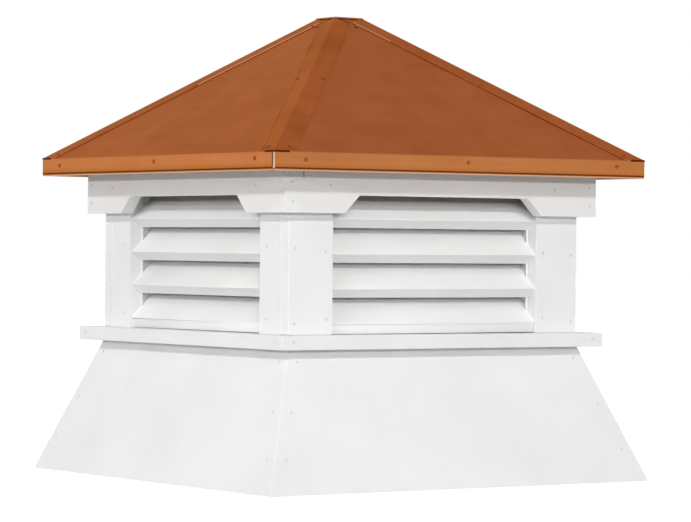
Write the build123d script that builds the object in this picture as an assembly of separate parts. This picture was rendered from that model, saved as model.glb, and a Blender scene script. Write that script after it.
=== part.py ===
from build123d import *
import math
import os

# Barn cupola with a 24 in louvred body, a flared skirt and a copper hip roof.
# Millimetres, +Z up, origin at the centre of the skirt's bottom rim.
# The front is -Y, the back +Y, the left -X and the right +X.

# Body and its boards
body_half = 305.0              # centre to the outer face of the corner boards
body_height = 205.0            # top of the sill to the lower edge of the frieze
board_thickness = 24.0         # corner boards, frieze and sill
corner_board_width = 89.5      # width of each corner, seen on either face

# Skirt: four flared panels, cut level at top and bottom
skirt_bottom_half = 398.0
skirt_top_reveal = 1.5         # how far the skirt's top stands proud of the body
skirt_height = 236.5
skirt_thickness = 19.0

# Sill between the skirt and the body
sill_overhang = 34.0           # beyond the faces of the corner boards
sill_width = 114.0

# Frieze under the eaves, cut away between its two ends
frieze_ear = 120.5             # outer corner to the lower end of the slanted cut
frieze_cut_rise = 30.5         # the cut slants at 45 degrees over this height
frieze_middle_height = 40.0    # what is left between the two slanted cuts

# Louvres: frame strips behind the corner boards, and folded blades between them
frame_thickness = 12.0
frame_corner_clearance = 3.0   # between the frames of two neighbouring sides
blade_count = 4
blade_pitch = 59.3
first_nose_height = 18.0       # lowest blade's nose above the sill
blade_setback = 3.0            # nose behind the face of the corner boards
blade_thickness = 2.2
blade_slope = 45.0             # degrees, of the upper limb
blade_upper_run = 44.5         # horizontal depth of the upper limb
blade_lower_run = 18.0         # horizontal depth of the lower limb
blade_lower_drop = 14.0        # height of the lower limb

# Roof: plywood deck on a soffit board, sheathed in copper
roof_half = 389.5              # centre to the outer face of the fascia
roof_pitch = 35.05             # degrees
soffit_thickness = 12.0
soffit_inner_half = 225.0
deck_thickness = 18.0
deck_seat = 8.0                # width of the level cut that sits on the soffit
sheet_thickness = 1.0
fascia_thickness = 1.0
fascia_return = 12.0           # strip that is bent in under the soffit

# Hip caps: copper strips folded over each hip, and the cap on the flat top
hip_cap_leg = 33.0
hip_cap_thickness = 1.0
hip_cap_lap_clearance = 0.3
hip_cap_end_setback = 5.0      # square-cut ends below the corner of the top cap
top_half = 29.0
top_cap_thickness = 1.0
top_cap_flange = 3.0

# Levels worked out from the sizes above
sill_z = skirt_height
sill_top_z = sill_z + board_thickness
frieze_bottom_z = sill_top_z + body_height
frieze_cut_z = frieze_bottom_z + frieze_cut_rise
soffit_z = frieze_cut_z + frieze_middle_height
soffit_top_z = soffit_z + soffit_thickness
fascia_bottom_z = soffit_z - fascia_thickness

# Widths worked out from the sizes above
skirt_top_half = body_half + skirt_top_reveal
sill_half = body_half + sill_overhang
frieze_half = body_half + board_thickness
board_back = body_half - board_thickness
opening_half = body_half - corner_board_width
return_board_width = corner_board_width - board_thickness
frame_depth = return_board_width - frame_thickness - frame_corner_clearance
deck_half = roof_half - fascia_thickness

# The roof's planes, each given by the height where it meets the centre line
pitch = math.radians(roof_pitch)
slope = math.tan(pitch)
plumb = 1.0 / math.cos(pitch)
deck_edge_height = deck_thickness * plumb - deck_seat * slope
deck_apex_z = soffit_top_z + deck_edge_height + deck_half * slope
sheet_apex_z = deck_apex_z + sheet_thickness * plumb
hip_cap_apex_z = sheet_apex_z + hip_cap_thickness * plumb
top_cap_apex_z = hip_cap_apex_z + top_cap_thickness * plumb
fascia_top_z = sheet_apex_z - roof_half * slope
top_z = top_cap_apex_z - top_half * slope
roof_cut_z = top_z - top_cap_thickness

# Turns about the vertical that carry a front piece to each side and corner
side_turns = {"front": 0, "right": 90, "back": 180, "left": 270}
corner_turns = {"front_left": 0, "front_right": 90, "back_right": 180, "back_left": 270}

# Local X points out of the front and local Y points up
section_plane = Plane(origin=(0, 0, 0), x_dir=(0, -1, 0), z_dir=(-1, 0, 0))
reach = 2 * max(skirt_bottom_half, roof_half)
full_height = 2 * top_z


def section(points):
    """A closed outline of points that are given as distance out and height."""
    return make_face(Polyline(*points, close=True))


def front_sector():
    """The quarter of the plan in front of the two diagonals."""
    corners = [(0, 0), (-reach, -reach), (reach, -reach)]
    prism = extrude(make_face(Polyline(*corners, close=True)), amount=full_height)
    return Pos(0, 0, -full_height / 4) * prism


def mitred(outline):
    """A front piece with this section, its two ends mitred on the diagonals."""
    bar = extrude(section_plane * outline, amount=reach, both=True)
    return bar & front_sector()


def block(x_range, y_range, z_range):
    """A rectangular board between the limits given for each axis."""
    size = [high - low for low, high in (x_range, y_range, z_range)]
    middle = [(high + low) / 2 for low, high in (x_range, y_range, z_range)]
    return Pos(*middle) * Box(*size)


def rectangle(out_range, z_range):
    """A rectangular section between two distances out and two heights."""
    inner, outer = out_range
    low, high = z_range
    return section([(inner, low), (outer, low), (outer, high), (inner, high)])


def skirt_panel():
    """A flared panel whose outer face leans in from the rim to the sill."""
    lean = math.atan2(skirt_bottom_half - skirt_top_half, skirt_height)
    level_thickness = skirt_thickness / math.cos(lean)
    return mitred(section([
        (skirt_bottom_half, 0),
        (skirt_top_half, skirt_height),
        (skirt_top_half - level_thickness, skirt_height),
        (skirt_bottom_half - level_thickness, 0),
    ]))


def sill_board():
    """A flat board that caps the skirt and carries the body."""
    return mitred(rectangle((sill_half - sill_width, sill_half), (sill_z, sill_top_z)))


def corner_board():
    """The wide board on the front face, at its left corner."""
    return block(
        (-body_half, -opening_half),
        (-body_half, -board_back),
        (sill_top_z, soffit_z),
    )


def corner_return():
    """The narrower board on the left face, behind the edge of the wide one."""
    return block(
        (-body_half, -board_back),
        (-board_back, -opening_half),
        (sill_top_z, soffit_z),
    )


def frieze_board():
    """The board under the eaves, with its middle cut away between slanted ends."""
    board = mitred(rectangle((body_half, frieze_half), (frieze_bottom_z, soffit_z)))
    low_x = frieze_half - frieze_ear
    high_x = low_x - frieze_cut_rise
    opening = Polyline(
        (-low_x, frieze_bottom_z),
        (low_x, frieze_bottom_z),
        (high_x, frieze_cut_z),
        (-high_x, frieze_cut_z),
        close=True,
    )
    cutter = extrude(Plane.XZ * make_face(opening), amount=reach)
    return board - cutter


def louvre_frame():
    """Two upright strips and a head strip, behind the corner boards."""
    y_range = (-board_back, -board_back + frame_depth)
    outer_x = opening_half + frame_thickness
    head_z = soffit_z - frame_thickness
    left = block((-outer_x, -opening_half), y_range, (sill_top_z, soffit_z))
    right = block((opening_half, outer_x), y_range, (sill_top_z, soffit_z))
    head = block((-opening_half, opening_half), y_range, (head_z, soffit_z))
    return left + head + right


def louvre_blades():
    """Folded blades, each with a sloping upper limb and a short return below."""
    nose = body_half - blade_setback - blade_thickness / 2
    upper_rise = blade_upper_run * math.tan(math.radians(blade_slope))
    blades = []
    for number in range(blade_count):
        nose_z = sill_top_z + first_nose_height + number * blade_pitch
        fold = Polyline(
            (nose - blade_upper_run, nose_z + upper_rise),
            (nose, nose_z),
            (nose - blade_lower_run, nose_z - blade_lower_drop),
        )
        outline = make_face(offset(fold, blade_thickness / 2, side=Side.BOTH))
        blades.append(extrude(section_plane * outline, amount=opening_half, both=True))
    return Compound(children=blades)


def soffit_board():
    """One square board under the roof, open in the middle."""
    z_range = (soffit_z, soffit_top_z)
    board = block((-deck_half, deck_half), (-deck_half, deck_half), z_range)
    hole = soffit_inner_half
    return board - block((-hole, hole), (-hole, hole), z_range)


def roof_layer(lower_apex_z, upper_apex_z, outer_half, floor_z):
    """The front quarter of a layer that lies between two planes of the roof."""
    slab = section([
        (0, lower_apex_z),
        (0, upper_apex_z),
        (reach, upper_apex_z - reach * slope),
        (reach, lower_apex_z - reach * slope),
    ])
    return mitred(slab & rectangle((0, outer_half), (floor_z, roof_cut_z)))


def roof_deck_board():
    """A plywood board with a plumb edge and a level seat on the soffit."""
    lower_apex_z = deck_apex_z - deck_thickness * plumb
    return roof_layer(lower_apex_z, deck_apex_z, deck_half, soffit_top_z)


def roof_sheet():
    """The copper sheet on one slope."""
    return roof_layer(deck_apex_z, sheet_apex_z, deck_half, soffit_top_z)


def fascia_strip():
    """The copper strip on the edge of the roof, bent in under the soffit."""
    upright = rectangle((deck_half, roof_half), (fascia_bottom_z, fascia_top_z))
    bent_in = rectangle((roof_half - fascia_return, roof_half), (fascia_bottom_z, soffit_z))
    return mitred(upright + bent_in)


def hip_chevron(leg, thickness, start, end):
    """A folded strip on the front left hip, between two distances up the hip."""
    fall = math.atan(slope / math.sqrt(2 + slope ** 2))
    across = (math.cos(fall), -math.sin(fall))
    outward = (math.sin(fall), math.cos(fall))
    tip = (leg * across[0], leg * across[1])
    outer_tip = (tip[0] + thickness * outward[0], tip[1] + thickness * outward[1])
    outline = Polyline(
        (0, 0),
        tip,
        outer_tip,
        (0, thickness / math.cos(fall)),
        (-outer_tip[0], outer_tip[1]),
        (-tip[0], tip[1]),
        close=True,
    )
    corner = (-roof_half, -roof_half, fascia_top_z)
    hip = Plane(origin=corner, x_dir=(-1, 1, 0), z_dir=(1, 1, slope))
    return extrude(hip.offset(start) * make_face(outline), amount=end - start)


def hip_length(height):
    """Distance up the hip that gains this height."""
    return height * math.sqrt(2 + slope ** 2) / slope


def hip_caps():
    """Four folded strips: two run under the square-cut ends of the other two."""
    roof_prism = block((-roof_half, roof_half), (-roof_half, roof_half), (0, roof_cut_z))
    past_eave = -2 * hip_cap_leg
    past_top = hip_length(top_z - fascia_top_z)
    square_end = past_top - hip_cap_end_setback
    over = hip_chevron(hip_cap_leg, hip_cap_thickness, past_eave, square_end) & roof_prism
    under = hip_chevron(hip_cap_leg, hip_cap_thickness, past_eave, past_top) & roof_prism
    lap = hip_chevron(
        hip_cap_leg + hip_cap_lap_clearance,
        3 * hip_cap_thickness,
        past_eave,
        square_end + hip_cap_lap_clearance,
    )
    under = Rot(0, 0, 90) * under - lap - Rot(0, 0, 180) * lap
    return {
        "hip_cap_front_left": over,
        "hip_cap_front_right": under,
        "hip_cap_back_right": Rot(0, 0, 180) * over,
        "hip_cap_back_left": Rot(0, 0, 180) * under,
    }


def top_cap():
    """A flat square of copper with its edges dressed down the four slopes."""
    flange = (top_cap_flange * math.cos(pitch), top_cap_flange * math.sin(pitch))
    normal = (top_cap_thickness * math.sin(pitch), top_cap_thickness * math.cos(pitch))
    outer_edge = (top_half + flange[0], top_z - flange[1])
    outline = section([
        (0, top_z),
        (top_half, top_z),
        outer_edge,
        (outer_edge[0] - normal[0], outer_edge[1] - normal[1]),
        ((hip_cap_apex_z - roof_cut_z) / slope, roof_cut_z),
        (0, roof_cut_z),
    ])
    quarter = mitred(outline)
    cap = quarter
    for angle in (90, 180, 270):
        cap += Rot(0, 0, angle) * quarter
    return cap


def on_each_side(name, front_piece):
    """Copies of a front piece, one for each side."""
    return {f"{name}_{side}": Rot(0, 0, turn) * front_piece for side, turn in side_turns.items()}


def mirrored_corners(name, front_left_piece):
    """Copies of a front left piece, mirrored to the other three corners."""
    front_right_piece = mirror(front_left_piece, about=Plane.YZ)
    return {
        f"{name}_front_left": front_left_piece,
        f"{name}_front_right": front_right_piece,
        f"{name}_back_left": mirror(front_left_piece, about=Plane.XZ),
        f"{name}_back_right": mirror(front_right_piece, about=Plane.XZ),
    }


def all_pieces():
    """Every piece of the cupola under its own name, from the rim up."""
    pieces = {}
    pieces.update(on_each_side("skirt", skirt_panel()))
    pieces.update(on_each_side("sill", sill_board()))
    pieces.update(mirrored_corners("corner_board", corner_board()))
    pieces.update(mirrored_corners("corner_return", corner_return()))
    pieces.update(on_each_side("louvre_frame", louvre_frame()))
    pieces.update(on_each_side("louvre_blades", louvre_blades()))
    pieces.update(on_each_side("frieze", frieze_board()))
    pieces["soffit"] = soffit_board()
    pieces.update(on_each_side("roof_deck", roof_deck_board()))
    pieces.update(on_each_side("roof_sheet", roof_sheet()))
    pieces.update(on_each_side("fascia", fascia_strip()))
    pieces.update(hip_caps())
    pieces["top_cap"] = top_cap()
    return pieces


os.makedirs("parts", exist_ok=True)
for piece_name, piece in all_pieces().items():
    export_step(piece, f"parts/{piece_name}.step")
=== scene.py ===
# %% [markdown]
# Barn cupola
#
# A cupola is the small louvred turret on the ridge of a barn. This one has a flared white skirt
# that straddles the ridge, a square body with a louvred opening in each side, and a hip roof of
# copper. The boards, blades and roof come from CAD as a fixed frame, in metres, and are never
# moved. This lesson gives them their finishes and adds what CAD leaves out: the hemmed hip strips,
# the screws, the sealant in the joints, a split in the frieze, and painted shade and painted
# highlights on the copper and the top blades.

# %% Load the CAD model
import bpy
import math
import random
from mathutils import Matrix, Vector


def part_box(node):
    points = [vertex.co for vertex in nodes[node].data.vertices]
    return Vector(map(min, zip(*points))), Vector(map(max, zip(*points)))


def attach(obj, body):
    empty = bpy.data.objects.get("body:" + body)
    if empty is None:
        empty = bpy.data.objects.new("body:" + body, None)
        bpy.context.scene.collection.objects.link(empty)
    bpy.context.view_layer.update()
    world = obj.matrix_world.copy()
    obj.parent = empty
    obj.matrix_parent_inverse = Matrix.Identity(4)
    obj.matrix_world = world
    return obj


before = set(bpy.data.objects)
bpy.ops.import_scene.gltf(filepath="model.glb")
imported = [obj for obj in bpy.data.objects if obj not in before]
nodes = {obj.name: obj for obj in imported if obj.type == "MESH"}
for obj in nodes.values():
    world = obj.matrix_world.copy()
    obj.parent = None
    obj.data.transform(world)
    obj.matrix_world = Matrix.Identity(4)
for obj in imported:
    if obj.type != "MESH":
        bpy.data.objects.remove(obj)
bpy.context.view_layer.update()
corners = ["front_left", "front_right", "back_right", "back_left"]


# %% [markdown]
# The camera
#
# The photograph was taken from well back, a little to the left of the near corner and level with
# the louvres, so the boards stay upright and the sill is almost a straight line. A long lens far
# away gives the same flat perspective. The camera is placed by its three directions: where it
# looks, what is right in the picture and what is up. Its place, its lens and its three angles, in
# radians, were fitted to corners of the cupola that can be measured in the photograph.

# %% Place the camera
camera_place = Vector((-3.3114, -4.8887, 0.4116))
heading = 0.5978
tilt = -0.00476
roll = 0.00856
lens_mm = 170.95
sensor_mm = 36

forward = Vector((
    math.sin(heading) * math.cos(tilt),
    math.cos(heading) * math.cos(tilt),
    math.sin(tilt),
))
level_right = Vector((math.cos(heading), -math.sin(heading), 0))
level_up = level_right.cross(forward)
picture_right = math.cos(roll) * level_right + math.sin(roll) * level_up
picture_up = math.cos(roll) * level_up - math.sin(roll) * level_right

camera_data = bpy.data.cameras.new("camera")
camera_data.lens = lens_mm
camera_data.sensor_width = sensor_mm
camera_data.clip_end = 200
camera = bpy.data.objects.new("camera", camera_data)
bpy.context.scene.collection.objects.link(camera)
turn = Matrix((picture_right, picture_up, -forward)).transposed().to_4x4()
camera.matrix_world = Matrix.Translation(camera_place) @ turn
bpy.context.scene.camera = camera
bpy.context.scene.view_settings.view_transform = "Standard"
print("camera at", tuple(camera_place), "looking along", tuple(round(v, 3) for v in forward))

# %% [markdown]
# Colours and nodes
#
# Colours are written as they look on a screen, as sRGB hex values, and Blender wants linear light,
# so one function turns them. Every material is a small graph of nodes. One function adds a node,
# sets it and links it: an input is either a number or colour, or the socket of another node.


# %% Helpers for colours and nodes
def linear(hex_colour):
    """The linear RGBA of an sRGB hex colour."""
    levels = [int(hex_colour[i:i + 2], 16) / 255 for i in (1, 3, 5)]
    return [c / 12.92 if c <= 0.04045 else ((c + 0.055) / 1.055) ** 2.4 for c in levels] + [1.0]


def node(tree, kind, settings=None, inputs=None):
    """Adds a node, with its settings, and its inputs as values or as sockets to link."""
    made = tree.nodes.new(kind)
    for name, value in (settings or {}).items():
        setattr(made, name, value)
    for name, value in (inputs or {}).items():
        if isinstance(value, bpy.types.NodeSocket):
            tree.links.new(value, made.inputs[name])
        else:
            made.inputs[name].default_value = value
    return made


def new_tree(data):
    """An empty node tree for a material or the world."""
    data.use_nodes = True
    data.node_tree.nodes.clear()
    return data.node_tree


# %% [markdown]
# The room
#
# The photograph has a pure white ground and soft light from all round. The world does both: what
# the camera and the metal see is a white room with a dimmer ceiling, and what lights the boards is
# a gentler glow. The glow is stronger behind the object, where the lamps are weak, so that the
# back can be read too, and below it, which only matters when the floor is taken away.

# %% Make the world
world = bpy.data.worlds.new("white room")
bpy.context.scene.world = world
tree = new_tree(world)

room_glow_front = 0.09
room_glow_back = 0.85
ceiling_level = 0.70
away_from_camera = (0.707, 0.707, 0)
direction = node(tree, "ShaderNodeTexCoord")
lamp_side = node(tree, "ShaderNodeVectorMath", {"operation": "DOT_PRODUCT"}, {
    0: direction.outputs["Generated"],
    1: away_from_camera,
})
glow = node(tree, "ShaderNodeMapRange", {"interpolation_type": "SMOOTHSTEP"}, {
    "Value": lamp_side.outputs["Value"],
    "From Min": 0.35,
    "From Max": 0.95,
    "To Min": room_glow_front,
    "To Max": room_glow_back,
})
height = node(tree, "ShaderNodeSeparateXYZ", None, {0: direction.outputs["Generated"]})
seen_level = node(tree, "ShaderNodeMapRange", {"interpolation_type": "SMOOTHSTEP"}, {
    "Value": height.outputs["Z"],
    "From Min": 0.35,
    "From Max": 0.85,
    "To Min": 1.0,
    "To Max": ceiling_level,
})
path = node(tree, "ShaderNodeLightPath")
seen = node(tree, "ShaderNodeMath", {"operation": "MAXIMUM"}, {
    0: path.outputs["Is Camera Ray"],
    1: path.outputs["Is Glossy Ray"],
})
seen_or_through = node(tree, "ShaderNodeMath", {"operation": "MAXIMUM"}, {
    0: seen.outputs[0],
    1: path.outputs["Is Transmission Ray"],
})
from_below = node(tree, "ShaderNodeMapRange", None, {
    "Value": height.outputs["Z"],
    "From Min": -0.05,
    "From Max": -0.3,
    "To Min": 0,
    "To Max": room_glow_back,
})
strongest = node(tree, "ShaderNodeMath", {"operation": "MAXIMUM"}, {
    0: glow.outputs[0],
    1: from_below.outputs[0],
})
lighting = node(tree, "ShaderNodeBackground", None, {"Strength": strongest.outputs[0]})
showing = node(tree, "ShaderNodeBackground", None, {"Strength": seen_level.outputs[0]})
lighting.inputs["Color"].default_value = (1, 1, 1, 1)
showing.inputs["Color"].default_value = (1, 1, 1, 1)
either = node(tree, "ShaderNodeMixShader", None, {
    0: seen_or_through.outputs[0],
    1: lighting.outputs[0],
    2: showing.outputs[0],
})
node(tree, "ShaderNodeOutputWorld", None, {"Surface": either.outputs[0]})
print("world glow", room_glow_front, "to", room_glow_back)

# %% [markdown]
# The floor
#
# A studio floor is white paper, and it throws light up under the blades and the eaves. To the
# camera it is partly light of its own, so that it stays as white as the background and still keeps
# a faint shadow round the skirt. Seen from below it is clear, so that the underside can be looked
# at. It lies half a millimetre under the skirt's rim, so that the two never share a plane.

# %% Make the floor
floor_radius = 40
under_rim = 0.0005
bpy.ops.object.select_all(action="DESELECT")
bpy.ops.mesh.primitive_circle_add(
    vertices=96, radius=floor_radius, fill_type="NGON", location=(0, 0, -under_rim),
)
floor = bpy.context.object
floor.name = "floor"
paper = bpy.data.materials.new("white studio paper")
tree = new_tree(paper)
paper_white = linear("#C0C0C0")
paper_shade = linear("#999999")
own_light = 0.94
path = node(tree, "ShaderNodeLightPath")
bouncing = node(tree, "ShaderNodeBsdfDiffuse", None, {"Color": paper_white})
shaded = node(tree, "ShaderNodeBsdfDiffuse", None, {"Color": paper_shade})
shining = node(tree, "ShaderNodeEmission", None, {"Strength": own_light})
to_camera = node(tree, "ShaderNodeAddShader", None, {0: shaded.outputs[0], 1: shining.outputs[0]})
seen = node(tree, "ShaderNodeMath", {"operation": "MAXIMUM"}, {
    0: path.outputs["Is Camera Ray"],
    1: path.outputs["Is Glossy Ray"],
})
top_side = node(tree, "ShaderNodeMixShader", None, {
    0: seen.outputs[0],
    1: bouncing.outputs[0],
    2: to_camera.outputs[0],
})
clear = node(tree, "ShaderNodeBsdfTransparent")
facing = node(tree, "ShaderNodeNewGeometry")
both_sides = node(tree, "ShaderNodeMixShader", None, {
    0: facing.outputs["Backfacing"],
    1: top_side.outputs[0],
    2: clear.outputs[0],
})
node(tree, "ShaderNodeOutputMaterial", None, {"Surface": both_sides.outputs[0]})
floor.data.materials.append(paper)
print("floor", floor.dimensions.x, "m across")

# %% [markdown]
# The lamps
#
# The shadows on the blades tell where the lamps stood. Each blade has two shadow edges, one from a
# low lamp and one from a lamp about 30 degrees up, and they fall alike on both faces. The ends of
# the blades have no shadow from the corner boards, so the lamps are wide. Two long, thin light
# bars face the front and two face the left, each pair one above the other, and each a little round
# towards the camera, so that they also light the edges of the boards inside the openings. Two
# weaker bars stand low on the right and at the back, for the sides that the photograph doesn't
# show. The metal doesn't mirror the bars, because the photograph has no sharp highlights on the
# copper.


# %% Set up the light bars
bar_distance = 12
bar_length = 9
bar_height = 0.5
aim = Vector((0, 0, 0.38))


def light_bar(name, bearing, elevation, watts):
    """A long level lamp that looks at the body. Bearing 0 stands in front, 90 on the left."""
    up = math.radians(elevation)
    round_to_left = math.radians(bearing)
    away = Vector((
        -math.sin(round_to_left) * math.cos(up),
        -math.cos(round_to_left) * math.cos(up),
        math.sin(up),
    ))
    data = bpy.data.lights.new(name, "AREA")
    data.shape = "RECTANGLE"
    data.size = bar_length
    data.size_y = bar_height
    data.energy = watts
    lamp = bpy.data.objects.new(name, data)
    bpy.context.scene.collection.objects.link(lamp)
    lamp.visible_glossy = False
    lamp.matrix_world = (
        Matrix.Translation(aim + away * bar_distance)
        @ away.to_track_quat("Z", "Y").to_matrix().to_4x4()
    )
    print(name, "at bearing", bearing, "and", elevation, "degrees up,", watts, "W")


for side, bearing, high_elevation in (("front", 10, 28.5), ("left", 80, 31)):
    light_bar(f"high_bar_{side}", bearing, high_elevation, watts=535)
    light_bar(f"low_bar_{side}", bearing, elevation=9, watts=445)
for side, bearing in (("right", 260), ("back", 190)):
    light_bar(f"fill_bar_{side}", bearing, elevation=14, watts=190)

# %% [markdown]
# White boards
#
# The skirt, sill, corner boards and frieze are cellular PVC, which is foamed plastic extruded as
# boards and cut like wood. It is white right through, smooth but not glossy, with a faint
# cloudiness from the foaming and tiny pits in its skin. Pits are a third of a millimetre across,
# too fine to show, so they are drawn about 3 mm across and very shallow. A second function lays
# bands of another colour over a finish at given heights, which the top blades and the fascia need
# further down.


# %% White PVC board
def bands_by_height(tree, place, base, bands):
    """Lays bands over a colour, each a height in mm, a colour and how much it covers."""
    lowest = bands[0][0]
    highest = bands[-1][0]
    height = node(tree, "ShaderNodeSeparateXYZ", None, {0: place})
    share = node(tree, "ShaderNodeMapRange", None, {
        "Value": height.outputs["Z"],
        "From Min": lowest / 1000,
        "From Max": highest / 1000,
    })
    ramp = node(tree, "ShaderNodeValToRGB", None, {0: share.outputs[0]})
    stops = ramp.color_ramp.elements
    while len(stops) < len(bands):
        stops.new(1.0)
    for stop, (band_height, colour, cover) in zip(stops, bands):
        stop.position = (band_height - lowest) / (highest - lowest)
        stop.color = linear(colour)[:3] + [cover]
    return node(tree, "ShaderNodeMix", {"data_type": "RGBA"}, {
        0: ramp.outputs["Alpha"],
        6: base,
        7: ramp.outputs["Color"],
    }).outputs[2]


def plastic(name, colour, cloud_colour, roughness, pit_mm, pit_depth_mm, bands=None):
    """White plastic with cloudy patches and shallow pits."""
    made = bpy.data.materials.new(name)
    tree = new_tree(made)
    place = node(tree, "ShaderNodeTexCoord").outputs["Object"]
    cloud_mm = 140
    clouds = node(tree, "ShaderNodeTexNoise", None, {
        "Vector": place,
        "Scale": 1000 / cloud_mm,
        "Detail": 3,
    })
    cloudiness = node(tree, "ShaderNodeMapRange", None, {
        "Value": clouds.outputs[0],
        "From Min": 0.35,
        "From Max": 0.7,
    })
    base = node(tree, "ShaderNodeMix", {"data_type": "RGBA"}, {
        0: cloudiness.outputs[0],
        6: linear(colour),
        7: linear(cloud_colour),
    }).outputs[2]
    if bands:
        base = bands_by_height(tree, place, base, bands)
    pits = node(tree, "ShaderNodeTexNoise", None, {
        "Vector": place,
        "Scale": 1000 / pit_mm,
        "Detail": 2,
    })
    skin = node(tree, "ShaderNodeMapRange", None, {
        "Value": pits.outputs[0],
        "To Min": roughness - 0.06,
        "To Max": roughness + 0.08,
    })
    dents = node(tree, "ShaderNodeBump", None, {
        "Height": pits.outputs[0],
        "Strength": 0.5,
        "Distance": pit_depth_mm / 1000,
    })
    surface = node(tree, "ShaderNodeBsdfPrincipled", None, {
        "Base Color": base,
        "Roughness": skin.outputs[0],
        "Normal": dents.outputs[0],
        "IOR": 1.53,
    })
    node(tree, "ShaderNodeOutputMaterial", None, {"Surface": surface.outputs[0]})
    return made


pvc_board = plastic(
    "cellular_pvc_board", "#EDEEEE", "#E9E9E9", roughness=0.45, pit_mm=3, pit_depth_mm=0.05,
)
print("made", pvc_board.name)

# %% [markdown]
# Louvre blades
#
# The blades are folded from thin white vinyl. It comes off polished rollers, so it is smoother and
# a little brighter than the boards, and its colour is more even. Under the frieze the back of the
# top
# blade is painted a darker grey green: painted shade where the frieze shadows it. Each band gives
# a height in mm, a colour and how much of it covers the vinyl.

# %% White vinyl
# Painted shade: darker grey green bands on the back of the top blade, under the frieze.
top_blade_shade_bands = [
    (478, "#C4C3BC", 0.0),
    (483, "#C4C3BC", 0.7),
    (487, "#B8B7AE", 0.8),
    (491, "#98978A", 0.9),
    (501, "#88877A", 0.9),
]
blade_vinyl = plastic(
    "folded_white_vinyl", "#F5F5F5", "#F1F1F0",
    roughness=0.36, pit_mm=6, pit_depth_mm=0.03, bands=top_blade_shade_bands,
)
print("made", blade_vinyl.name)

# %% [markdown]
# Copper
#
# The roof is mill copper, rolled to sheet and left bare, and a season of air has turned it from
# pink to orange brown. Rolling leaves faint streaks along the sheet, handling and rain leave
# cloudy patches, and a thin sheet never lies quite flat, which shows as slow waves in what it
# reflects. The streaks run level on every slope, so their pattern is long in the two level
# directions and short in height. A metal shows the room in its own colour, so its base colour is
# the colour of its shine.
#
# The fascia is bent from brighter copper. Its sides are painted a little lighter than the front
# and back, as painted light. Bands by height paint the shading of its lower fold: a dark line of
# painted shade, with the colour fading up from it, a paler edge below as a painted highlight, and
# a little darker again at its top edge. The top cap is painted a paler copper, as painted light.


# %% Copper
def copper(name, colour, patch_colour, roughness, patch_mm, streak_mm, bands=None):
    """Bare copper sheet with patches, level rolling streaks and slow waves."""
    wave_mm = 260
    level_stretch = 0.04
    made = bpy.data.materials.new(name)
    tree = new_tree(made)
    place = node(tree, "ShaderNodeTexCoord").outputs["Object"]
    patches = node(tree, "ShaderNodeTexNoise", None, {
        "Vector": place,
        "Scale": 1000 / patch_mm,
        "Detail": 4,
        "Roughness": 0.6,
    })
    stretched = node(tree, "ShaderNodeMapping", None, {
        "Vector": place,
        "Scale": (level_stretch, level_stretch, 1),
    })
    streaks = node(tree, "ShaderNodeTexNoise", None, {
        "Vector": stretched.outputs[0],
        "Scale": 1000 / streak_mm,
        "Detail": 3,
    })
    both = node(tree, "ShaderNodeMix", {"data_type": "FLOAT"}, {
        0: 0.3,
        2: patches.outputs[0],
        3: streaks.outputs[0],
    })
    darkness = node(tree, "ShaderNodeMapRange", None, {
        "Value": both.outputs[0],
        "From Min": 0.36,
        "From Max": 0.64,
    })
    base = node(tree, "ShaderNodeMix", {"data_type": "RGBA"}, {
        0: darkness.outputs[0],
        6: linear(colour),
        7: linear(patch_colour),
    }).outputs[2]
    if bands:
        base = bands_by_height(tree, place, base, bands)
    shine = node(tree, "ShaderNodeMapRange", None, {
        "Value": both.outputs[0],
        "To Min": roughness - 0.08,
        "To Max": roughness + 0.08,
    })
    waves = node(tree, "ShaderNodeTexNoise", None, {
        "Vector": place,
        "Scale": 1000 / wave_mm,
        "Detail": 1,
    })
    slow = node(tree, "ShaderNodeBump", None, {
        "Height": waves.outputs[0],
        "Strength": 0.4,
        "Distance": 0.012,
    })
    rolled = node(tree, "ShaderNodeBump", None, {
        "Height": streaks.outputs[0],
        "Strength": 0.15,
        "Distance": 0.0004,
        "Normal": slow.outputs[0],
    })
    surface = node(tree, "ShaderNodeBsdfPrincipled", None, {
        "Base Color": base,
        "Metallic": 1.0,
        "Roughness": shine.outputs[0],
        "Specular Tint": linear("#E6C8AA"),
        "Normal": rolled.outputs[0],
    })
    node(tree, "ShaderNodeOutputMaterial", None, {"Surface": surface.outputs[0]})
    return made


sheet_copper = copper("weathered_roof_copper", "#BC6C47", "#B26440", 0.42, 90, 14)
# Painted shade and highlight of the fascia's lower fold: a dark line, a pale lowest edge, and a
# little darker at the top edge.
fold_shade_and_highlight_bands = [
    (535.0, "#C88A60", 0.9),
    (536.3, "#A8683E", 0.9),
    (536.9, "#5C2C12", 1.0),
    (538.5, "#5C2C12", 1.0),
    (539.6, "#A8642E", 0.7),
    (543.5, "#B87038", 0.6),
    (551.0, "#C47E4B", 0.0),
    (560.0, "#C47E4B", 0.0),
    (564.9, "#A8683C", 0.3),
]
# Lit and shaded copies of one copper: the sides are painted lighter than the front and back.
front_back_fascia_copper_painted_shade = copper("front_back_fascia_copper_painted_shade", "#BC7846", "#B46F3E", 0.36, 120, 10, fold_shade_and_highlight_bands)
side_fascia_copper_painted_light = copper("side_fascia_copper_painted_light", "#CA8151", "#C27848", 0.36, 120, 10, fold_shade_and_highlight_bands)
strip_copper = copper("folded_strip_copper", "#BC6A43", "#AC5D38", 0.39, 80, 12)
# Painted light: the top cap is given a paler, lighter copper than the roof.
painted_light_cap_copper = copper("cap_copper_with_painted_light", "#D8A078", "#CC9068", 0.42, 60, 12)
print("coppers:", [m.name for m in bpy.data.materials if "copper" in m.name])

# %% [markdown]
# Plywood
#
# Under the copper is a deck of exterior plywood, which shows from below and in the dark strip
# behind the eaves. Its face veneer is peeled from the log, so the growth rings are cut at a flat
# angle and make long wavy bands, about 75 mm apart. Wave bands bent by noise draw that, and a
# finer noise stretched along the grain draws the pores. A wave texture of scale 1 has 20 radians
# in a metre.

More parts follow.
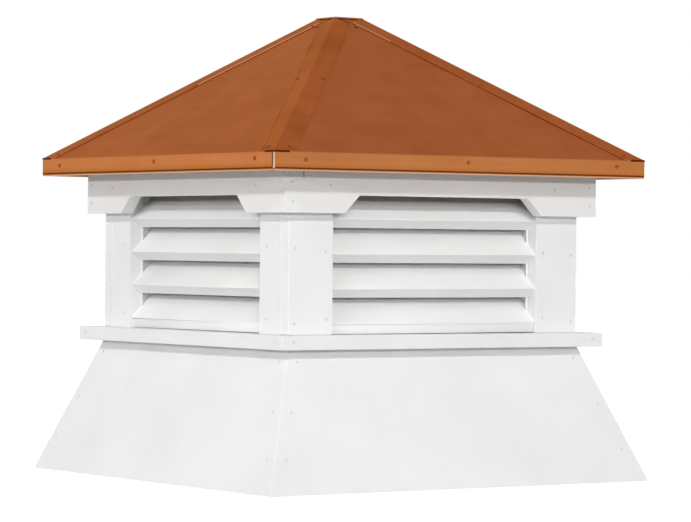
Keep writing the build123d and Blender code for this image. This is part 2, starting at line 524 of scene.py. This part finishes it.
# %% Exterior plywood
ring_mm = 75.4
pore_mm = 3
wave_radians = 20
plywood = bpy.data.materials.new("exterior_plywood")
tree = new_tree(plywood)
place = node(tree, "ShaderNodeTexCoord").outputs["Object"]
bands = node(tree, "ShaderNodeTexWave", {"bands_direction": "Y"}, {
    "Vector": place,
    "Scale": 1000 / ring_mm * 2 * math.pi / wave_radians,
    "Distortion": 6,
    "Detail": 2,
    "Detail Scale": 0.6,
})
along_grain = node(tree, "ShaderNodeMapping", None, {"Vector": place, "Scale": (0.05, 1, 1)})
pores = node(tree, "ShaderNodeTexNoise", None, {
    "Vector": along_grain.outputs[0],
    "Scale": 1000 / pore_mm,
    "Detail": 3,
})
ring_colour = node(tree, "ShaderNodeMix", {"data_type": "RGBA"}, {
    0: bands.outputs["Fac"],
    6: linear("#B98F60"),
    7: linear("#A4784A"),
})
grain_colour = node(tree, "ShaderNodeMix", {"data_type": "RGBA", "blend_type": "MULTIPLY"}, {
    0: 0.5,
    6: ring_colour.outputs[2],
    7: pores.outputs["Fac"],
})
grain_bump = node(tree, "ShaderNodeBump", None, {
    "Height": pores.outputs["Fac"],
    "Strength": 0.4,
    "Distance": 0.0004,
})
surface = node(tree, "ShaderNodeBsdfPrincipled", None, {
    "Base Color": grain_colour.outputs[2],
    "Roughness": 0.8,
    "Normal": grain_bump.outputs[0],
})
node(tree, "ShaderNodeOutputMaterial", None, {"Surface": surface.outputs[0]})
print("plywood rings", ring_mm, "mm apart")

# %% [markdown]
# Finishes on the CAD pieces
#
# Every CAD piece keeps its shape and gets its finish here. A sawn board or a folded sheet has no
# perfectly sharp edge, and the small round along it is what catches the light, so each piece also
# gets two live modifiers: Weld joins its loose triangles, and Bevel rounds the sharp edges. The
# table gives each kind of piece its material and the width of its rounded edge in mm.


# %% Dress the CAD pieces
weld_distance = 0.00001
sharp_angle = math.radians(25)


def dress(node_name, material, edge_mm):
    """Gives a CAD piece its material and rounds its sharp edges."""
    piece = nodes[node_name]
    piece.data.materials.clear()
    piece.data.materials.append(material)
    weld = piece.modifiers.new("join triangles", "WELD")
    weld.merge_threshold = weld_distance
    edges = piece.modifiers.new("round edges", "BEVEL")
    edges.width = edge_mm / 1000
    edges.segments = 2
    edges.limit_method = "ANGLE"
    edges.angle_limit = sharp_angle
    edges.harden_normals = True


finishes = {
    "skirt": (pvc_board, 1.0),
    "sill": (pvc_board, 1.2),
    "corner_board": (pvc_board, 2.2),
    "corner_return": (pvc_board, 0.8),
    "frieze": (pvc_board, 0.4),
    "louvre_frame": (pvc_board, 0.5),
    "louvre_blades": (blade_vinyl, 0.5),
    "roof_deck": (plywood, 0.5),
    "soffit": (plywood, 0.5),
    "roof_sheet": (sheet_copper, 0.2),
    "fascia_front": (front_back_fascia_copper_painted_shade, 0.4),
    "fascia_back": (front_back_fascia_copper_painted_shade, 0.4),
    "fascia": (side_fascia_copper_painted_light, 0.4),
    "hip_cap": (strip_copper, 0.4),
    "top_cap": (painted_light_cap_copper, 0.4),
}
for name in sorted(nodes):
    kind = next(k for k in finishes if name.startswith(k))
    dress(name, *finishes[kind])
print("dressed", len(nodes), "CAD pieces")

# %% [markdown]
# Tools for new pieces
#
# New pieces are modelled as by hand: a primitive, shaped in edit mode, then set in its place. Each
# piece is made flat in front of the reader, with its own X, Y and Z, and one function then sets it
# on the cupola and leaves its place in its mesh. What repeats is modelled once, copied, and joined
# to one piece for each group.


# %% Helpers for modelling
def primitive(operator, name, **settings):
    """A new primitive, alone selected, and in edit mode with all of it selected."""
    if bpy.context.object and bpy.context.object.mode == "EDIT":
        bpy.ops.object.mode_set(mode="OBJECT")
    bpy.ops.object.select_all(action="DESELECT")
    operator(**settings)
    bpy.ops.object.transform_apply(location=True, rotation=True, scale=True)
    made = bpy.context.object
    made.name = name
    made.data.name = name
    bpy.ops.object.mode_set(mode="EDIT")
    return made


def select_faces(piece, test):
    """Selects, in edit mode, the faces whose centre and normal pass the test."""
    bpy.ops.mesh.select_mode(type="FACE")
    bpy.ops.mesh.select_all(action="DESELECT")
    bpy.ops.object.mode_set(mode="OBJECT")
    for face in piece.data.polygons:
        face.select = test(face.center, face.normal)
    bpy.ops.object.mode_set(mode="EDIT")


def apply_modifier(piece, kind, **settings):
    """Adds a modifier with its settings and applies it."""
    bpy.ops.object.mode_set(mode="OBJECT")
    modifier = piece.modifiers.new(kind.lower(), kind)
    for name, value in settings.items():
        setattr(modifier, name, value)
    bpy.ops.object.modifier_apply(modifier=modifier.name)


def axes(origin, x_axis, y_axis, z_axis):
    """The matrix that carries a piece's own axes to these directions at this point."""
    turned = Matrix((x_axis, y_axis, z_axis)).transposed().to_4x4()
    return Matrix.Translation(origin) @ turned


def copies(model, name, places, material):
    """Copies of a model at these places, joined to one piece, which rides on the cupola."""
    made = []
    for place in places:
        copy = model.copy()
        copy.data = model.data.copy()
        copy.hide_render = False
        bpy.context.scene.collection.objects.link(copy)
        copy.matrix_world = place
        made.append(copy)
    bpy.ops.object.select_all(action="DESELECT")
    for copy in made:
        copy.select_set(True)
    bpy.context.view_layer.objects.active = made[0]
    bpy.ops.object.transform_apply(location=True, rotation=True, scale=True)
    if len(made) > 1:
        bpy.ops.object.join()
    piece = bpy.context.object
    piece.name = name
    piece.data.name = name
    piece.data.materials.clear()
    piece.data.materials.append(material)
    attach(piece, "root")
    print(name, len(places), "copies,", len(piece.data.polygons), "faces")
    return piece


def four_sides(place):
    """The same place on the front, right, back and left."""
    return [Matrix.Rotation(math.radians(90 * k), 4, "Z") @ place for k in range(4)]


# %% [markdown]
# Screws
#
# The boards are held by small white painted screws in pairs near their edges, and the copper by
# copper screws. Each is a low round head with a recess for the driver. A cylinder is the start:
# its top face is inset and pushed in for the recess, and the rim is bevelled to a crown. From
# where the camera stands a head is three or four pixels wide, so a dozen sides are enough.


# %% Model a screw head
def screw_head(name, radius_mm, crown_mm):
    """A crowned screw head with a recess, standing on its own Z."""
    radius = radius_mm / 1000
    crown = crown_mm / 1000
    rounded_rim = 0.6 * crown
    land = 0.35 * radius
    recess_wall = 0.05 * radius
    recess_depth = 0.5 * crown
    head = primitive(
        bpy.ops.mesh.primitive_cylinder_add, name,
        vertices=12, radius=radius, depth=crown, location=(0, 0, crown / 2), end_fill_type="NGON",
    )
    select_faces(head, lambda centre, normal: normal.z < -0.9)
    bpy.ops.mesh.delete(type="FACE")
    select_faces(head, lambda centre, normal: normal.z > 0.9)
    bpy.ops.mesh.bevel(offset=rounded_rim, segments=2, affect="EDGES")
    select_faces(head, lambda centre, normal: normal.z > 0.9 and centre.length < crown * 1.5)
    bpy.ops.mesh.inset(thickness=land, depth=0)
    bpy.ops.mesh.inset(thickness=recess_wall, depth=-recess_depth)
    bpy.ops.object.mode_set(mode="OBJECT")
    bpy.ops.object.shade_smooth_by_angle(angle=math.radians(35))
    head.hide_render = True
    return head


def paint(name, colour, roughness, metallic):
    """A plain painted or metal finish with a little unevenness."""
    mottle_mm = 2.5
    made = bpy.data.materials.new(name)
    tree = new_tree(made)
    place = node(tree, "ShaderNodeTexCoord").outputs["Object"]
    mottle = node(tree, "ShaderNodeTexNoise", None, {
        "Vector": place,
        "Scale": 1000 / mottle_mm,
        "Detail": 2,
    })
    tone = node(tree, "ShaderNodeMix", {"data_type": "RGBA", "blend_type": "MULTIPLY"}, {
        0: 0.35,
        6: linear(colour),
        7: mottle.outputs["Color"],
    })
    surface = node(tree, "ShaderNodeBsdfPrincipled", None, {
        "Base Color": tone.outputs[2],
        "Roughness": roughness,
        "Metallic": metallic,
    })
    node(tree, "ShaderNodeOutputMaterial", None, {"Surface": surface.outputs[0]})
    return made


white_head = screw_head("white_screw_model", radius_mm=2.7, crown_mm=0.9)
copper_head = screw_head("copper_screw_model", radius_mm=3.6, crown_mm=1.2)
screw_paint = paint("painted_steel_screw", "#ECECE8", 0.5, 0.0)
screw_copper = paint("copper_screw", "#B4643A", 0.5, 1.0)
# Painted shade: a dark copper colour for thin bars laid in gaps where shade falls.
tarnish = paint("tarnished_copper", "#5E2A10", 0.6, 1.0)
# Painted highlight: a near white copper for the bright folds at the fascia corners.
burnished = paint("burnished_copper", "#F2C49C", 0.3, 1.0)
# Painted highlight: a paler copper for the tops of the hems on the under strips.
hem_highlight_paint = paint("rubbed_hem_copper", "#D88E5C", 0.35, 1.0)
# Painted highlight: a pale copper for the rolled lip under the fascia.
lip_copper = paint("rubbed_lip_copper", "#E0B698", 0.35, 1.0)
print("screw heads of", len(white_head.data.polygons), "faces")

# %% [markdown]
# Where the screws are
#
# Each board's screws stand a finger's width in from its edges, at the same heights all round.
# Their places are given on the front, as distances from the middle and heights in mm, and turned
# to the other sides. The narrow boards on the left and right have only one row each. Every head is
# turned a little differently, as screws are.

# %% Set the screws in the boards
random.seed(11)
front_of = {kind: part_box(kind + "_front")[0].y for kind in ("sill", "frieze", "fascia")}
board_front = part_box("corner_board_front_left")[0].y


def on_front(x_mm, z_mm, face_y):
    """A place on an upright front face, with its own Z outwards and a random turn."""
    spin = Matrix.Rotation(random.uniform(0, math.pi), 4, "Z")
    place = axes(Vector((x_mm / 1000, face_y, z_mm / 1000)), (1, 0, 0), (0, 0, 1), (0, -1, 0))
    return place @ spin


wide_board_rows = ((293, 407, 397), (293, 280, 280), (231, 401, 401), (229, 287, 287))
narrow_board_rows = ((238, 409), (236, 286))
post_places = []
for x_mm, left_z_mm, right_z_mm in wide_board_rows:
    for side, z_mm in ((-1, left_z_mm), (1, right_z_mm)):
        place = on_front(side * x_mm, z_mm, board_front)
        post_places.append(place)
        post_places.append(Matrix.Rotation(math.pi, 4, "Z") @ place)
for x_mm, z_mm in narrow_board_rows:
    for side in (-1, 1):
        place = on_front(side * x_mm, z_mm, board_front)
        post_places.append(Matrix.Rotation(math.pi / 2, 4, "Z") @ place)
        post_places.append(Matrix.Rotation(-math.pi / 2, 4, "Z") @ place)
copies(white_head, "corner_board_screws", post_places, screw_paint)

frieze_places = []
for x_mm, z_mm in ((315, 517), (315, 484), (237, 512)):
    for side in (-1, 1):
        frieze_places += four_sides(on_front(side * x_mm, z_mm, front_of["frieze"]))
copies(white_head, "frieze_screws", frieze_places, screw_paint)

sill_places = []
for side in (-1, 1):
    sill_places += four_sides(on_front(side * 316, 250, front_of["sill"]))
copies(white_head, "sill_screws", sill_places, screw_paint)

# %% [markdown]
# Screws in the skirt
#
# The skirt's panels lean, so their screws lean with them and stand the same distance in from the
# mitred corner at every height. Two directions are worked out from the panel's box: one up the
# slope and one straight out of it.

# %% Set the screws in the skirt
skirt_low, skirt_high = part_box("skirt_front")
skirt_rise = skirt_high.z - skirt_low.z
skirt_top_half = 0.3065
from_corner = 0.022
skirt_run = -skirt_low.y - skirt_top_half
skirt_out = Vector((0, -skirt_rise, skirt_run)).normalized()
skirt_up = Vector((0, skirt_run, skirt_rise)).normalized()
skirt_places = []
for z_mm in (57, 134, 216):
    half = -skirt_low.y - skirt_run * z_mm / 1000 / skirt_rise
    for side in (-1, 1):
        point = Vector((side * (half - from_corner), -half, z_mm / 1000))
        spin = Matrix.Rotation(random.uniform(0, math.pi), 4, "Z")
        skirt_places += four_sides(axes(point, Vector((1, 0, 0)), skirt_up, skirt_out) @ spin)
copies(white_head, "skirt_screws", skirt_places, screw_paint)

# %% [markdown]
# Screws in the fascia
#
# Each copper fascia is held by three copper screws, one near each end and one almost in the
# middle.

# %% Set the screws in the fascia
fascia_places = []
for x_mm, z_mm in ((-328, 552), (4, 554), (328, 554)):
    fascia_places += four_sides(on_front(x_mm, z_mm, front_of["fascia"]))
copies(copper_head, "fascia_screws", fascia_places, screw_copper)

# %% [markdown]
# Hems on the hip strips
#
# Each hip is covered by a folded copper strip whose two long edges are turned under. The hem makes
# the edge twice as thick and round, and it catches the light as a thin bright line that comes and
# goes, because a hem turned by hand is never quite straight. A long block is cut into short
# lengths, moved a little by a cloud texture and bevelled round. It lies on the edge of the CAD
# strip.
#
# Two opposite strips end square at the top and lie over the other two. On the two that run under
# them the hems are painted a paler copper near the top, as a painted highlight: the upper half of
# one leg and the last 75 mm of the other. These parts are pieces of their own, so that they can
# have another finish.

# %% Model the hems
roof_half = -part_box("fascia_front")[0].y
eave_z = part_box("fascia_front")[1].z
roof_top_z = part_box("top_cap")[1].z
roof_pitch = 35.05
roof_slope = math.tan(math.radians(roof_pitch))
strip_leg = 0.033
square_end_setback = 0.005
hem_width = 0.005
hem_height = 0.0014
hem_round = 0.0006
hem_sway = 0.0016
hem_lift = 0.0008
cut_spacing = 0.02
hem_waves = bpy.data.textures.new("hem waves", "CLOUDS")
hem_waves.noise_scale = 0.2
hip_direction = Vector((1, 1, roof_slope)).normalized()
front_normal = Vector((0, -roof_slope, 1)).normalized()
front_across = hip_direction.cross(front_normal)
left_normal = Vector((-roof_slope, 0, 1)).normalized()
left_across = left_normal.cross(hip_direction)
eave_corner = Vector((-roof_half, -roof_half, eave_z))
to_eave = -front_across.y * strip_leg / hip_direction.y
to_square_end = (roof_top_z - eave_z) / hip_direction.z - square_end_setback
to_middle = (roof_half - front_across.x * strip_leg) / hip_direction.x
front_leg = axes(eave_corner, hip_direction, -front_across, front_normal)
left_leg = axes(eave_corner, hip_direction, left_across, left_normal)


def hem(name, start, end, side, shift):
    """A wavy hem from start to end along X, one leg's width to the side of it.

    The shift moves it through the cloud texture and back, so that each hem has waves of its own.
    """
    length = end - start
    middle = (start + length / 2, side * (strip_leg - hem_width / 2), hem_height / 2)
    piece = primitive(bpy.ops.mesh.primitive_cube_add, name, size=1, location=middle)
    bpy.ops.transform.resize(value=(length, hem_width, hem_height))
    bpy.ops.mesh.select_all(action="DESELECT")
    bpy.ops.mesh.select_mode(type="EDGE")
    bpy.ops.object.mode_set(mode="OBJECT")
    for edge in piece.data.edges:
        ends = [piece.data.vertices[v].co for v in edge.vertices]
        edge.select = abs(ends[0].x - ends[1].x) > length / 2
    bpy.ops.object.mode_set(mode="EDIT")
    bpy.ops.mesh.subdivide(number_cuts=int(length / cut_spacing))
    bpy.ops.mesh.select_all(action="SELECT")
    bpy.ops.transform.translate(value=(shift, 0, 0))
    for direction, strength in (("Y", hem_sway), ("Z", hem_lift)):
        apply_modifier(
            piece, "DISPLACE",
            texture=hem_waves, texture_coords="LOCAL", direction=direction, strength=strength,
        )
    bpy.ops.object.mode_set(mode="EDIT")
    bpy.ops.mesh.select_all(action="SELECT")
    bpy.ops.transform.translate(value=(-shift, 0, 0))
    apply_modifier(
        piece, "BEVEL",
        width=hem_round, segments=3, limit_method="ANGLE", angle_limit=math.radians(50),
    )
    bpy.ops.object.shade_smooth_by_angle(angle=math.radians(40))
    piece.hide_render = True
    return piece


# The top ends of these hems get the paler copper, as a painted highlight.
highlight_length = 0.075
half_way = 0.325
for number, corner in enumerate(corners):
    over = number % 2 == 0
    end = to_square_end if over else to_middle
    turn = Matrix.Rotation(math.radians(90 * number), 4, "Z")
    a_dull_end = end if over else half_way
    b_dull_end = end if over else end - highlight_length
    parts = [
        ("a", to_eave, a_dull_end, front_leg, -1, strip_copper),
        ("b", to_eave, b_dull_end, left_leg, 1, strip_copper),
    ]
    if not over:
        parts.append(("a_top_highlight", a_dull_end, end, front_leg, -1, hem_highlight_paint))
        parts.append(("b_top_highlight", b_dull_end, end, left_leg, 1, hem_highlight_paint))
    for leg, start, stop, place, side, material in parts:
        model = hem(f"hem_model_{corner}_{leg}", start, stop, side, 3 * number + side)
        made = copies(model, f"hip_hem_{corner}_{leg}", [turn @ place], material)
        bpy.data.objects.remove(model)

# %% [markdown]
# Screws in the hip strips
#
# The strips are screwed through both legs near the eave and half way up. Just below the top cap
# are two more screws on each slope. The heads stand on the strips and on the sheets.

# %% Set the hip screws
strip_surface = 0.001
sheet_surface = 0.0006
hip_places = []
for along, off in ((0.034, 0.020), (0.319, 0.0245)):
    for place, side in ((front_leg, -1), (left_leg, 1)):
        hip_places += four_sides(place @ Matrix.Translation((along, side * off, strip_surface)))
for x_mm, y_mm in ((-11, -50), (2, -51)):
    slope_z = eave_z + (roof_half + y_mm / 1000) * roof_slope
    point = Vector((x_mm / 1000, y_mm / 1000, slope_z + sheet_surface))
    up_slope = Vector((0, 1, roof_slope)).normalized()
    hip_places += four_sides(axes(point, Vector((1, 0, 0)), up_slope, front_normal))
copies(copper_head, "hip_screws", hip_places, screw_copper)
for model in (white_head, copper_head):
    bpy.data.objects.remove(model)

# %% [markdown]
# Painted highlights and shade on the copper edges
#
# Where two sheets meet, the cut edge is drawn as a thin pale bar, a painted highlight, and a thin
# dark bar beside it is painted shade in the gap. The fascia shows both at its corners, on the face
# that is lapped over: the front strip laps over the side strips, and these over the back one. Its
# lower edge is rolled to a thin lip, painted pale as a highlight. The same dark painted shade runs
# under the end of each hip strip, which stands a little off the fascia, and along the square ends
# of the strips that lie over the others at the top. All of these are thin bars with rounded edges,
# each modelled once and copied round the roof.


# %% Lay the edge lines
def thin_bar(name, size_mm, edge_mm):
    """A thin bar round its own middle, with its edges rounded."""
    bar = primitive(bpy.ops.mesh.primitive_cube_add, name, size=1)
    bpy.ops.transform.resize(value=[v / 1000 for v in size_mm])
    bpy.ops.mesh.select_all(action="SELECT")
    bpy.ops.mesh.bevel(offset=edge_mm / 1000, segments=2, affect="EDGES")
    bpy.ops.object.mode_set(mode="OBJECT")
    bpy.ops.object.shade_smooth_by_angle(angle=math.radians(40))
    return bar


def place_group(name, size_mm, edge_mm, places, material):
    """One piece made of copies of a thin bar at these places."""
    model = thin_bar(name + "_model", size_mm, edge_mm)
    copies(model, name, places, material)
    bpy.data.objects.remove(model)


eave_mm = roof_half * 1000
fold_z = 0.5505
lip_z = 0.5344
lip_inset = 0.0005
above_eave = 0.0003
past_square_end = 0.0006
above_sheet = 0.0008


def lap_places(off_face, along_face):
    """Places on the lapped faces, this far off the face and this far in from the corner."""
    out = roof_half + off_face
    along = roof_half - along_face
    turned = Matrix.Rotation(math.pi / 2, 4, "Z")
    places = [Matrix.Translation((side * out, -along, fold_z)) for side in (-1, 1)]
    places += [Matrix.Translation((side * along, out, fold_z)) @ turned for side in (-1, 1)]
    return places


# Pale bars at the fascia corners: painted highlights on the folds.
place_group(
    "fascia_corner_fold_highlights", (0.8, 4.8, 26.5), 0.3,
    lap_places(off_face=0.0001, along_face=0.0022), burnished,
)
# Dark bars beside the corner folds: painted shade in the gap.
place_group(
    "fascia_corner_gap_shade", (0.4, 3.4, 26.5), 0.1,
    lap_places(off_face=0, along_face=0.0063), tarnish,
)
# The rolled lip under each fascia, painted pale as a highlight.
place_group(
    "fascia_lip_highlights", (2 * eave_mm - 1, 1.8, 1.8), 0.5,
    four_sides(Matrix.Translation((0, -roof_half + lip_inset, lip_z))),
    lip_copper,
)

strip_end_places = []
for x_mm, y_mm, turned in ((-eave_mm + 14, -eave_mm, 0), (-eave_mm, -eave_mm + 15, 90)):
    spot = Matrix.Translation((x_mm / 1000, y_mm / 1000, eave_z + above_eave))
    strip_end_places += four_sides(spot @ Matrix.Rotation(math.radians(turned), 4, "Z"))
# Painted shade under the lifted lower ends of the hip strips.
place_group("hip_strip_end_shade", (30, 1.0, 3.4), 0.2, strip_end_places, tarnish)

square_end_places = []
for place, side in ((front_leg, -1), (left_leg, 1)):
    spot = Matrix.Translation((
        to_square_end + past_square_end, side * strip_leg / 2, above_sheet,
    ))
    over_strip = place @ spot
    square_end_places += [over_strip, Matrix.Rotation(math.pi, 4, "Z") @ over_strip]
# Painted shade along the square ends of the strips that lie over the others.
place_group(
    "square_end_shade", (1.4, strip_leg * 1000, 0.8), 0.1,
    square_end_places, tarnish,
)

# %% [markdown]
# Sealant in the corner joints
#
# The wide corner board covers the edge of the narrower one round the corner, and a bead of sealant
# closes the joint between them. It has greyed and holds dirt in places.

# %% Seal the corner joints
sealant = bpy.data.materials.new("greyed_acrylic_sealant")
tree = new_tree(sealant)
place = node(tree, "ShaderNodeTexCoord").outputs["Object"]
dirt = node(tree, "ShaderNodeTexNoise", None, {"Vector": place, "Scale": 1000 / 45, "Detail": 3})
dirty = node(tree, "ShaderNodeMapRange", None, {
    "Value": dirt.outputs[0],
    "From Min": 0.55,
    "From Max": 0.72,
})
sealant_colour = node(tree, "ShaderNodeMix", {"data_type": "RGBA"}, {
    0: dirty.outputs[0],
    6: linear("#ECECE9"),
    7: linear("#C0BEB8"),
})
surface = node(tree, "ShaderNodeBsdfPrincipled", None, {
    "Base Color": sealant_colour.outputs[2],
    "Roughness": 0.55,
})
node(tree, "ShaderNodeOutputMaterial", None, {"Surface": surface.outputs[0]})

sill_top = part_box("sill_front")[1].z
frieze_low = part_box("frieze_front")[0].z
body_half = -board_front
board_thickness = 0.024
seam_from_middle = body_half - board_thickness
seam_rise = frieze_low - sill_top
seam_places = []
for side_x in (-1, 1):
    for side_y in (-1, 1):
        middle = (side_x * body_half, side_y * seam_from_middle, (sill_top + frieze_low) / 2)
        seam_places.append(Matrix.Translation(middle))
place_group(
    "corner_joint_sealant", (0.8, 3.2, seam_rise * 1000 - 1), 0.3,
    seam_places, sealant,
)

# %% [markdown]
# Stops and lowest folds
#
# A narrow stop beside each opening, a board's thickness in, covers the ends of the blades. The
# lowest blade is folded almost straight down, nearly to the sill, so a thin strip stands in front
# of it, tilted like that fold and a hair lower at one end, as it hangs on the real cupola.

# %% Set the stops and the lowest folds
opening_half = 0.2155
stop_inset = 0.0025
stop_depth = 0.0232
stop_rise = 0.246
stop_places = []
for side in (-1, 1):
    stop_middle = (
        side * (opening_half - stop_inset), board_front + stop_depth, sill_top + stop_rise / 2,
    )
    stop_places += four_sides(Matrix.Translation(stop_middle))
place_group(
    "louvre_stops", (4.6, 1.6, stop_rise * 1000), 0.3,
    stop_places, pvc_board,
)

fold_depth = 0.0068
fold_height = 0.0088
fold_tilt = 26
fold_sag = -0.1
lower_strip = (
    Matrix.Translation((0, board_front + fold_depth, sill_top + fold_height))
    @ Matrix.Rotation(math.radians(fold_sag), 4, "Y")
    @ Matrix.Rotation(math.radians(fold_tilt), 4, "X")
)
place_group(
    "bottom_blade_fronts", (430, 1.2, 16.6), 0.3,
    four_sides(lower_strip), blade_vinyl,
)

# %% [markdown]
# A split in the frieze
#
# Up on the front frieze the board has split a little near a screw. The crack is about a millimetre
# wide and full of dirt, so a thin dark bar in the board's face is enough.

# %% Split the frieze
split_dirt = paint("dirt_in_split", "#6A6660", 0.8, 0.0)
split_x = -0.292
split_z = 0.5295
split_places = [Matrix.Translation((split_x, front_of["frieze"], split_z))]
place_group("frieze_split", (1.3, 0.5, 11), 0.1, split_places, split_dirt)
